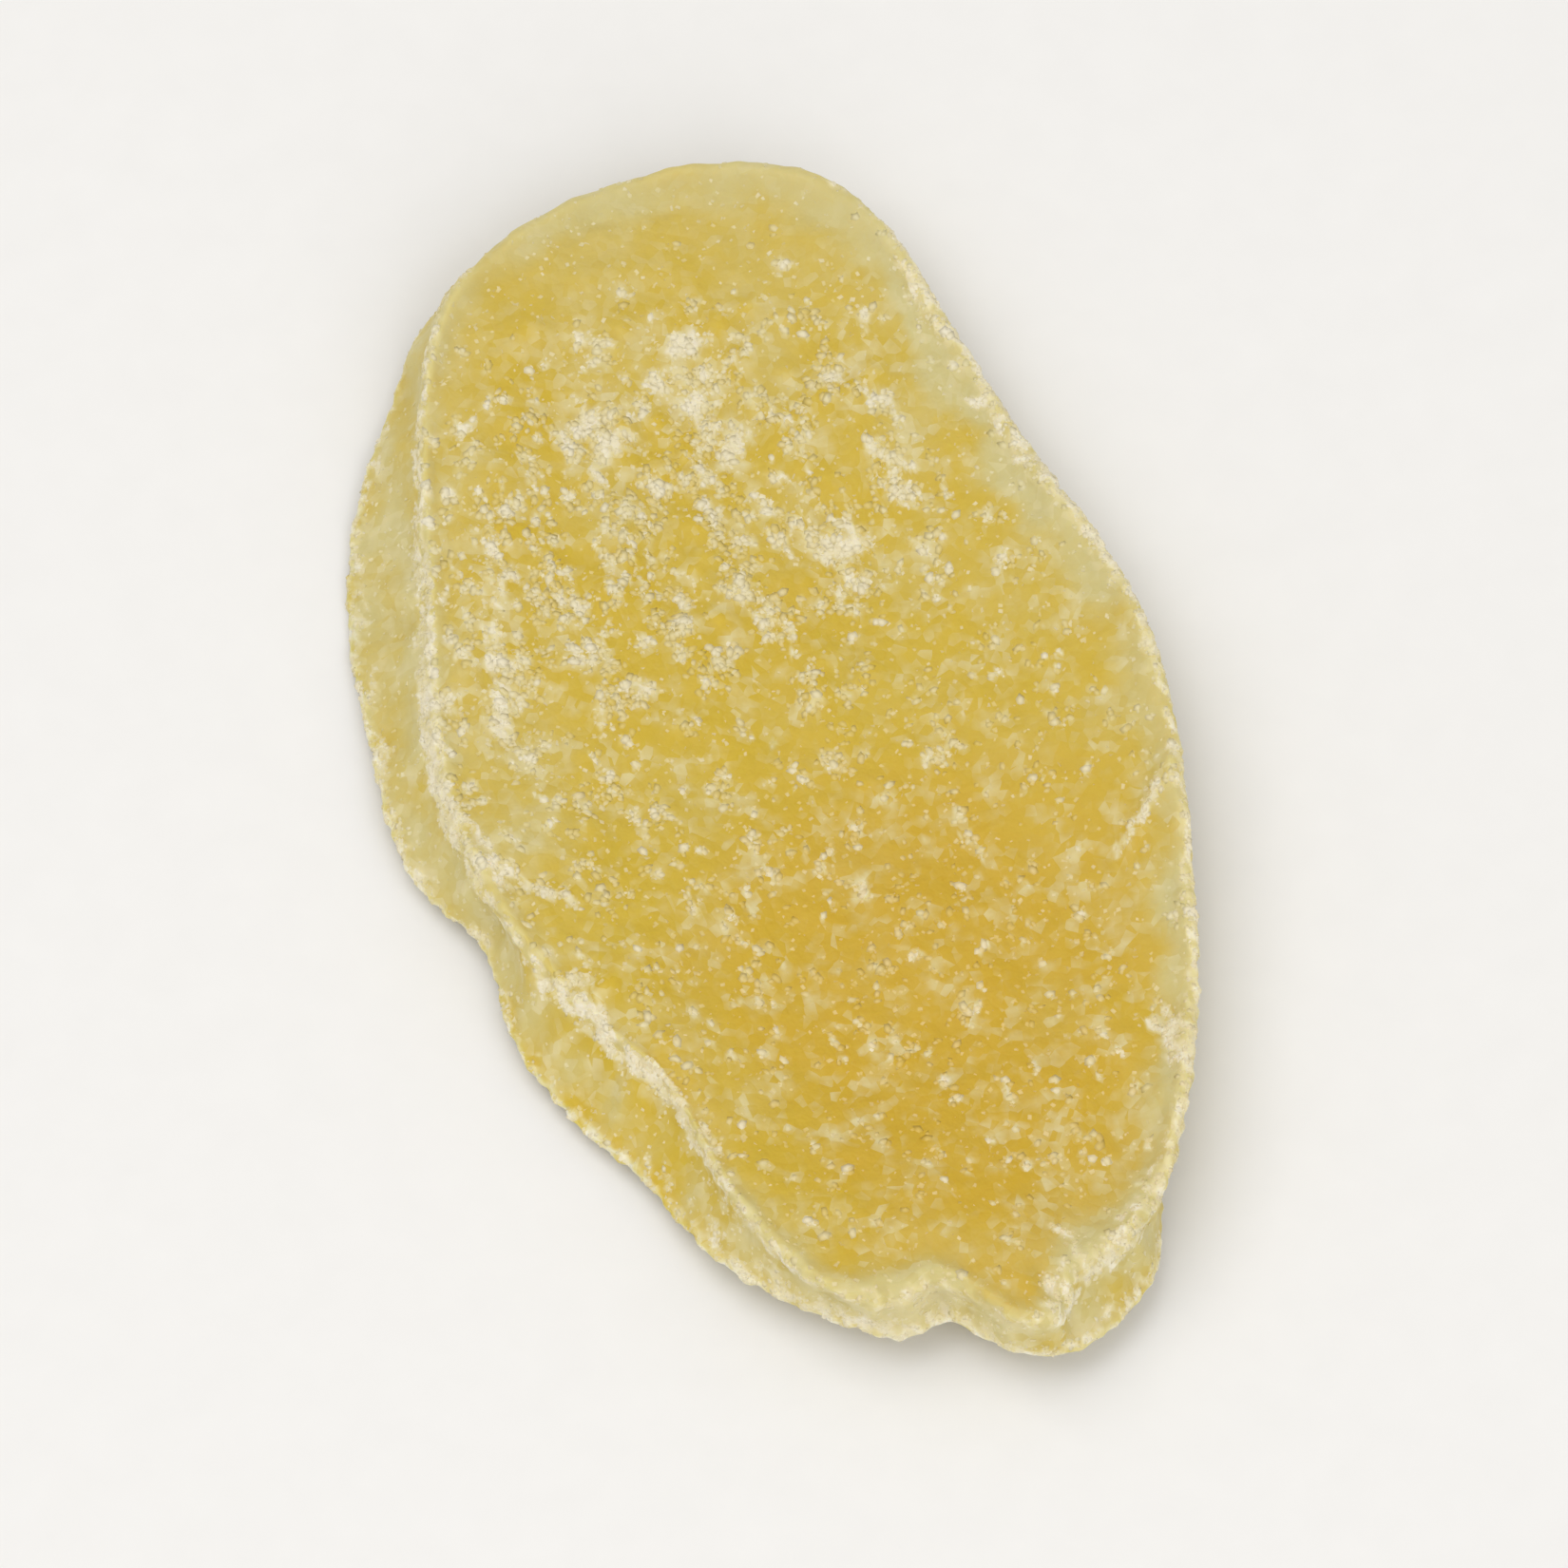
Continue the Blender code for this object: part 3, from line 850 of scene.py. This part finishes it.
thinning = smooth_step((flat_y / MM - DUST_END) / DUST_FADE)
dusty = np.where(on_face, 1.0 - (1 - LEAST_DUST) * thinning, WALL_DUST)
amber = ellipses([(*AMBER_MIDDLE, *AMBER_HALF_WIDTHS, 1)])[0]
print("amber over", round(float((amber[on_face] > 0.5).mean()) * 100), "% of the face")

# %% [markdown]
# ## Fine relief
#
# The edge of a dried slice is soft and crusty, its side wall wrinkles from face to underside, and the face
# keeps the fibres of the root. First the points beside both edges are drawn towards their neighbours, round
# after round, which softens the edges. Then all points but those of the resting patch move along their
# normals. A bump in the material would be quicker, but it leaves the outline and the mesh smooth.

# %% Fine relief
CRUST_RELIEF = 0.05 * MM
CRUST_SHARE = ((0, 0.6), (40, 0.5), (60, 0.3), (120, 0.35), (150, 0.8), (200, 1.0), (240, 0.9), (300, 0.8))
WRINKLE_RELIEF = 0.03 * MM
FACE_FIBRE_RELIEF = 0.004 * MM
FACE_DIMPLE_RELIEF = 0.03 * MM
FROST_RELIEF = 0.045 * MM
ROUNDING_REACH = ((0, 0.40), (100, 0.40), (225, 0.42), (245, 1.0), (275, 1.1), (300, 0.6), (315, 0.40))
ROUNDING_ROUNDS = 20
FOOT_ROUNDING = 0.3 * MM
ARRIS_CRUST, FOOT_CRUST = 0.7 * MM, 0.5 * MM
RESTING = 0.005 * MM


def face_normals(points, triangles):
    """The normal of each triangle, twice as long as the triangle's area."""
    corners = points[triangles]
    return np.cross(corners[:, 1] - corners[:, 0], corners[:, 2] - corners[:, 0])


def vertex_normals(points, triangles):
    """The normal at each point: the mean of those of its triangles, larger ones counting for more."""
    total = np.zeros_like(points)
    across = face_normals(points, triangles)
    for k in range(3):
        np.add.at(total, triangles[:, k], across)
    return total / np.maximum(np.linalg.norm(total, axis=1, keepdims=True), 1e-20)


def rounded(points, triangles, share, rounds):
    """The points, each drawn by its share towards the mean of its neighbours, round after round."""
    start = triangles.reshape(-1)
    end = np.roll(triangles, -1, axis=1).reshape(-1)
    count = np.bincount(start, minlength=len(points))
    for _ in range(rounds):
        means = [np.bincount(start, points[end, k], len(points)) / count for k in range(3)]
        points = points + share[:, None] * (np.stack(means, axis=1) - points)
    return points


on_cap = on_face | on_under
flat_rest = on_under & (points[:, 2] < RESTING)
soft = 0.5 * np.exp(-((from_arris / (round_curve(ROUNDING_REACH, angle) * MM)) ** 2))
soft += 0.3 * np.exp(-((from_foot / FOOT_ROUNDING) ** 2))
points = rounded(points, triangles, np.where(flat_rest, 0, soft), ROUNDING_ROUNDS)
crust = 0.4 + uneven(points, 0.9 * MM, 71) + 0.4 * uneven(points, 0.6 * MM, 72)
crust *= CRUST_RELIEF * round_curve(CRUST_SHARE, angle)
at_arris = np.exp(-((from_arris / ARRIS_CRUST) ** 2))
at_foot = 0.8 * np.exp(-((from_foot / FOOT_CRUST) ** 2))
wrinkles = WRINKLE_RELIEF * ripples(way_round(angle), drop * THICKNESS * 0.25, 1.1 * MM, 73, 30)
wall_share = np.where(on_cap, 0, np.sin(math.pi * drop) ** 0.5)
fibres = FACE_FIBRE_RELIEF * ripples(flat_x, flat_y * 0.16, 0.55 * MM, 74, 40)
dimples = FACE_DIMPLE_RELIEF * uneven(points, 1.6 * MM, 75)
caked = FROST_RELIEF * frost * (0.5 + 0.8 * uneven(points, 0.6 * MM, 76))
relief = crust * np.maximum(at_arris, at_foot) + wrinkles * wall_share
relief += (fibres + dimples) * on_cap + caked
relief[flat_rest] = 0
points += vertex_normals(points, triangles) * relief[:, None]
points[:, 2] = np.maximum(points[:, 2], 0)
points[:, :2] -= middle
normals = vertex_normals(points, triangles)
print("fine relief stands", round(float(relief.max()) / MM, 2), "mm at most")

# %% [markdown]
# ## The flesh as an object
#
# The mesh is made from the arrays in one call, which is quicker than adding vertices one at a time. The
# numbers of haze, powder, amber and dust stay at its points as attributes, for the finish to read.

# %% The flesh as an object


def mesh_object(name, points, triangles, values):
    """An object from arrays, smooth, with the values kept at its points."""
    mesh = bpy.data.meshes.new(name)
    mesh.from_pydata(points.tolist(), [], triangles.tolist())
    for label, value in values.items():
        stored = mesh.attributes.new(label, "FLOAT", "POINT")
        stored.data.foreach_set("value", value.astype(np.float32))
    mesh.shade_smooth()
    made = bpy.data.objects.new(name, mesh)
    bpy.context.scene.collection.objects.link(made)
    return made


coating = {"haze": haze, "frost": frost, "amber": amber, "dusty": dusty}
flesh = mesh_object("ginger_flesh", points, triangles, coating)
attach(flesh, "root")
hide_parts(NODE)
print(flesh.name, "has", len(flesh.data.polygons), "triangles")

# %% [markdown]
# ## Sugar crystals
#
# There are two kinds. Fine grains are small skewed blocks: a cube whose corners are each nudged gives a few
# different ones. Crystals that grew together in the syrup are low rounded lumps. Copies of both are turned,
# sized and sunk into the surface. They are one mesh for each kind, because thousands of objects would be
# slow. Real sugar passes light on to the flesh. A solid lump would shade the flesh round its foot and draw
# a dark line there, so the crystals cast no shadow and take no part in light that bounces.

# %% Crystal shapes
SHAPE_COUNT = 12
HEADROOM = 0.02 * (high[2] - low[2])


def shared_mesh(solid):
    """The points and the triangles of a small solid, which is then set free."""
    bmesh.ops.triangulate(solid, faces=solid.faces[:])
    solid.verts.index_update()
    corners = np.array([v.co for v in solid.verts])
    sides = np.array([[v.index for v in f.verts] for f in solid.faces])
    solid.free()
    return corners, sides


def block_shapes(seed):
    """Skewed blocks about 1 across: their points, and the triangles they share."""
    block = bmesh.new()
    bmesh.ops.create_cube(block, size=1)
    corners, sides = shared_mesh(block)
    nudge = np.random.default_rng(seed).uniform(-0.17, 0.17, (SHAPE_COUNT, len(corners), 3))
    return (corners + nudge) * np.array([1, 0.8, 0.55]), sides


def lump_shapes(seed):
    """Low rounded lumps about 1 across."""
    lump = bmesh.new()
    bmesh.ops.create_icosphere(lump, subdivisions=1, radius=0.5)
    corners, sides = shared_mesh(lump)
    swell = np.random.default_rng(seed).uniform(0.75, 1.2, (SHAPE_COUNT, len(corners), 1))
    return corners * swell * np.array([1, 0.75, 0.34]), sides


def turned(draw, normals, tilt):
    """A frame of three axes for each normal: turned at random about it, and leaning a little off it."""
    count = len(normals)
    up = normals + draw.normal(0, tilt, (count, 3))
    up /= np.linalg.norm(up, axis=1, keepdims=True)
    side = np.cross(up, draw.normal(size=(count, 3)))
    side /= np.linalg.norm(side, axis=1, keepdims=True)
    return np.stack([side, np.cross(up, side), up], axis=2)


def sugar_piece(name, shapes, vertex, place, normal, size, tone, seed, tilt, proud):
    """One object of crystals, each near that vertex and proud of the slice by that share of its size."""
    draw = np.random.default_rng(seed)
    solid, sides = shapes
    kind = draw.integers(0, len(solid), len(place))
    frames = turned(draw, normal, tilt)
    turned_solid = np.einsum("nij,nkj->nki", frames, solid[kind]) * size[:, None, None]
    above = np.einsum("nki,ni->nk", turned_solid, normal)
    shift = proud * size - above.max(axis=1)
    body = turned_solid + (place + normal * shift[:, None])[:, None, :]
    crown = np.clip((above + shift[:, None]) / (proud * size)[:, None], 0, 1)
    height = body[:, :, 2]
    clear = (height.min(axis=1) > 0) & (height.max(axis=1) < high[2] + HEADROOM)
    body, crown = body[clear], crown[clear]
    corners = solid.shape[1]
    faces = sides[None] + (np.arange(len(body)) * corners)[:, None, None]
    values = {"crown": crown.reshape(-1), "tone": np.repeat(tone[clear], corners)}
    for label, value in coating.items():
        values[label] = np.repeat(value[vertex][clear], corners)
    made = mesh_object(name, body.reshape(-1, 3), faces.reshape(-1, 3), values)
    made.visible_shadow = False
    made.visible_diffuse = False
    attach(made, "root")
    print(name, len(body), "crystals,", len(faces) * len(sides), "triangles")
    return made


# %% [markdown]
# ## Lumps along the flecks
#
# A small fleck is one lump, and a long one is a short bent chain of them. Each takes its place and its lean
# from the nearest point of the face, so that it follows the relief.

# %% Lumps along the flecks
LUMP_SEED = 94
# millimetres: the size in a chain and of one alone for each unit of its fleck's half length, the half
# length from which a fleck is a chain, and the spacing and crowding that give the number in it
LUMP_SIZE = (0.34, 0.62)
LONE_SIZE = 3.0
CHAIN_START, CHAIN_SPACING, CHAIN_CROWDING = 0.2, 0.18, 1.6
CHAIN_ENDS, CHAIN_SCATTER = 0.9, 0.28
LUMP_TONE = (0.4, 0.8)
FAINTEST_LUMP = 0.18
FURTHEST_BESIDE = 0.2
LIP_CLEARANCE = 0.25 * MM
STEEPEST = 0.6


def fleck_lumps():
    """(x, y, size, tone) of each lump, in millimetres."""
    draw = np.random.default_rng(LUMP_SEED)
    rows = []
    for cx, cy, heading, half_length, strength in fleck_rows:
        chain = half_length > CHAIN_START
        for _ in range(1 + int((half_length / CHAIN_SPACING) ** CHAIN_CROWDING) * chain):
            along = half_length * draw.uniform(-CHAIN_ENDS, CHAIN_ENDS) * chain
            aside = draw.normal(0, CHAIN_SCATTER) * half_length * chain
            aside -= FLECK_BEND * along**2 / half_length
            x = cx + along * math.cos(heading) - aside * math.sin(heading)
            y = cy + along * math.sin(heading) + aside * math.cos(heading)
            size = draw.uniform(*LUMP_SIZE) if chain else LONE_SIZE * half_length
            rows.append((x, y, size, strength * draw.uniform(*LUMP_TONE)))
    return np.array(rows)


def lumps_on_face():
    """The nearest vertex, place, normal, size and tone of each lump that lies well inside the lip."""
    lumps = fleck_lumps()
    found = [face_points.find((x, y, 0)) for x, y, _, _ in lumps]
    nearest = np.array([k for _, k, _ in found])
    beside = np.array([distance for _, _, distance in found])
    kept = (beside < FURTHEST_BESIDE) & (from_arris[nearest] > LIP_CLEARANCE)
    kept &= (normals[nearest][:, 2] > STEEPEST) & (lumps[:, 3] > FAINTEST_LUMP)
    lumps, nearest = lumps[kept], nearest[kept]
    lean = normals[nearest]
    step_x = lumps[:, 0] * MM - flat_x[nearest]
    step_y = lumps[:, 1] * MM - flat_y[nearest]
    climb = -(step_x * lean[:, 0] + step_y * lean[:, 1]) / lean[:, 2]
    place = points[nearest] + np.stack([step_x, step_y, climb], axis=1)
    return nearest, place, lean, lumps[:, 2] * MM, lumps[:, 3]


face_lumps = lumps_on_face()
print(len(face_lumps[0]), "lumps along the flecks")

# %% [markdown]
# ## Crust along the edge
#
# The lip carries a crust of the same lumps, and these sit on the curve of the edge, where a place in plan
# says too little. Triangles of the flesh are drawn instead, with a chance that grows with their area and
# their powder, and each draw puts one lump on one triangle.

# %% Crust along the edge
CRUST_COUNT = 1700
CRUST_SIZE = (0.16 * MM, 0.40 * MM)
CRUST_TONE = (0.4, 1.0)
CRUST_SEED = 97


def scatter(seed, count, density, size, tone):
    """The nearby vertex, place, normal, size and tone of drawn crystals, more where it is denser."""
    draw = np.random.default_rng(seed)
    area = np.linalg.norm(face_normals(points, triangles), axis=1)
    weight = area * np.maximum(density, 0)[triangles].mean(axis=1)
    chosen = triangles[draw.choice(len(triangles), count, p=weight / weight.sum())]
    share = draw.dirichlet((1, 1, 1), count)[:, :, None]
    place, lean = (points[chosen] * share).sum(axis=1), (normals[chosen] * share).sum(axis=1)
    sizes = size[0] * (size[1] / size[0]) ** draw.uniform(0, 1, count)
    return chosen[:, 0], place, lean, sizes, draw.uniform(*tone, count)


# 0 where the surface faces down, 1 where it faces up
seen = smooth_step((normals[:, 2] + 0.2) / 0.4)
edge_lumps = scatter(CRUST_SEED, CRUST_COUNT, crust_line**1.5 * seen, CRUST_SIZE, CRUST_TONE)
both = [np.concatenate(pair) for pair in zip(face_lumps, edge_lumps)]
crystals = sugar_piece("sugar_crystals", lump_shapes(93), *both, seed=95, tilt=0.15, proud=0.075)

# %% [markdown]
# ## Loose grains
#
# The finest grains lie wherever there is powder, and a few lie everywhere, scattered in the same way.

# %% Loose grains
GRAIN_COUNT = 10000
GRAIN_SIZE = (0.09 * MM, 0.20 * MM)
GRAIN_TONE = (0.2, 0.7)
GRAIN_SEED = 92
LOOSE_ON_FACE, LOOSE_ELSEWHERE = 0.10, 0.06

loose = np.where(on_face, LOOSE_ON_FACE, LOOSE_ELSEWHERE)
density = (loose * (0.6 + 0.4 * uneven(points, 1.0 * MM, 81)) + frost**1.5) * seen
drawn = scatter(GRAIN_SEED, GRAIN_COUNT, density, GRAIN_SIZE, GRAIN_TONE)
grains = sugar_piece("sugar_grains", block_shapes(91), *drawn, seed=96, tilt=0.3, proud=0.24)
grains.data.shade_flat()

# %% [markdown]
# ## The flesh
#
# Ginger candied in syrup is amber glass with fibres in it: light goes in, spreads a millimetre or two, and
# comes out warmer. Subsurface scattering does that. Haze pales it, and over both lies a film of powder, dry
# and rough. Two soft noises and a chance value for each small cell mottle both, because noise alone looks
# like smoke. All this is one function, because the clear feet of the crystals show the same colour.

# %% Flesh finish
AMBER = srgb(200, 165, 46)
LEMON = srgb(201, 173, 56)
HAZE = srgb(202, 191, 135)
POWDER = srgb(215, 203, 156)
CAKED = srgb(230, 223, 202)


def skin(recipe):
    """The colour of the flesh under its haze and its film of powder, and the share of that film."""
    broad = recipe.spread(8 * MM)
    patch = recipe.spread(1.9 * MM)
    fleck = recipe.spread(0.95 * MM)
    grain = recipe.speckle(0.42 * MM)
    flesh = recipe.mix((recipe.stored("amber") + broad * 0.12).step(0.1, 0.9), LEMON, AMBER)
    dusty = recipe.stored("dusty")
    veil = recipe.stored("haze") + (patch * 0.08 + grain * 0.10) * dusty
    hazed = recipe.mix(veil.step(-0.15, 1.15), flesh, HAZE)
    mottle = (patch * 0.09 + fleck * 0.12 + grain * 0.25) * dusty
    frost = recipe.stored("frost")
    film = (frost + mottle).step(-0.05, 0.80)
    powder = recipe.mix((frost + mottle * 0.5).step(0.55, 1.15), POWDER, CAKED)
    return recipe.mix(film * 0.9, hazed, powder), film


def flesh_finish():
    recipe = Recipe("dried_ginger")
    colour, film = skin(recipe)
    bump = recipe.node("Bump", {}, {
        "Height": recipe.spread(0.60 * MM) * 0.5 - recipe.cells(0.42 * MM, "Distance") * 1.2,
        "Distance": 0.03 * MM,
        "Strength": 0.6,
    })
    shader = recipe.node("BsdfPrincipled", {}, {
        "Base Color": colour,
        "Roughness": 0.48 + film * 0.35,
        "Normal": bump,
        "IOR": 1.46,
        "Subsurface Weight": 0.7,
        "Subsurface Radius": (1.0, 0.88, 0.55),
        "Subsurface Scale": 0.9 * MM,
        "Specular IOR Level": 0.3,
    })
    return recipe.finish(shader)


flesh.data.materials.append(flesh_finish())
print("the flesh finish has", len(flesh.data.materials[0].node_tree.nodes), "nodes")

# %% [markdown]
# ## The sugar
#
# Each crystal is nearly clear. Where it is thin, at its foot, the flesh shows through, and its thick crown
# sends light back and looks cream, or golden where the flesh below is darkest. The stored height above the
# flesh blends the one into the other, and a tone for each crystal makes some whiter than others. A surface
# smoother than the powder's adds a little sparkle. Glass would be truer and far slower to render.

# %% Sugar finish
WHITE_SUGAR = srgb(216, 205, 170)
GOLDEN_SUGAR = srgb(219, 193, 130)


def sugar_finish():
    recipe = Recipe("sugar")
    cloudy = recipe.spread(0.25 * MM)
    white = (recipe.stored("crown") + cloudy * 0.08).step(-0.4, 0.7) * recipe.stored("tone")
    sugar_colour = recipe.mix(recipe.stored("amber"), WHITE_SUGAR, GOLDEN_SUGAR)
    shader = recipe.node("BsdfPrincipled", {}, {
        "Base Color": recipe.mix(white, skin(recipe)[0], sugar_colour),
        "Roughness": 0.40 + cloudy * 0.05,
        "IOR": 1.5,
    })
    return recipe.finish(shader)


sugar = sugar_finish()
for piece in (grains, crystals):
    piece.data.materials.append(sugar)
print("the sugar finish has", len(sugar.node_tree.nodes), "nodes")

# %% [markdown]
# ## The table
#
# A plain pale table lets the slice's own colours speak. Its faint mottle keeps it from looking like a screen.

# %% Table
TABLE_SIZE = 3
TABLE_DARKER = (0.80, 0.79, 0.77, 1)
TABLE_PALER = (0.83, 0.82, 0.80, 1)


def table():
    bpy.ops.mesh.primitive_plane_add(size=TABLE_SIZE)
    made = bpy.context.object
    made.name = "table"
    recipe = Recipe("table")
    colour = recipe.mix(recipe.noise(2 * MM), TABLE_DARKER, TABLE_PALER)
    shader = recipe.node("BsdfPrincipled", {}, {"Base Color": colour, "Roughness": 0.8})
    made.data.materials.append(recipe.finish(shader))
    made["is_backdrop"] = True
    return made


print("the table is", round(table().dimensions.x, 1), "m wide")

# %% [markdown]
# ## The light
#
# Two large soft lights, nearly as strong as each other: one above and behind, which brings out the relief,
# and one from the front. A pale surround fills what shadows they leave. One small lamp would show every
# crystal, but it would hide the amber under glints.

# %% Lights
SURROUND = (1.0, 0.99, 0.98, 1)
SURROUND_STRENGTH = 0.57


def soft_light(name, place, size, power, colour):
    """A square light that faces the slice."""
    data = bpy.data.lights.new(name, "AREA")
    data.size = size
    data.energy = power
    data.color = colour
    made = bpy.data.objects.new(name, data)
    bpy.context.scene.collection.objects.link(made)
    made.location = place
    made.rotation_euler = (-made.location).to_track_quat("-Z", "Y").to_euler()
    return made


soft_light("key", place=(-0.20, 0.15, 0.60), size=0.60, power=1.90, colour=(1.0, 0.995, 0.985))
soft_light("fill", place=(0.05, -0.50, 0.40), size=0.60, power=1.80, colour=(1.0, 1.0, 0.995))

world = bpy.data.worlds.new("surround")
world.use_nodes = True
background = world.node_tree.nodes["Background"]
background.inputs["Color"].default_value = SURROUND
background.inputs["Strength"].default_value = SURROUND_STRENGTH
bpy.context.scene.world = world
bpy.context.scene.view_settings.view_transform = "Standard"
print(len(bpy.data.lights), "lights and a surround of strength", SURROUND_STRENGTH)

# %% [markdown]
# ## The two boxes
#
# The crystals are kept below a little headroom over the top of the imported model. Both boxes are measured,
# and the top of each is printed.

# %% Boxes
boxes = [[list(corner) for corner in box] for box in (cad_box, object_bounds())]
packed_top, dressed_top = (round(box[1][2] / MM, 2) for box in boxes)
print("the packed box reaches", packed_top, "mm up, the dressed one", dressed_top)
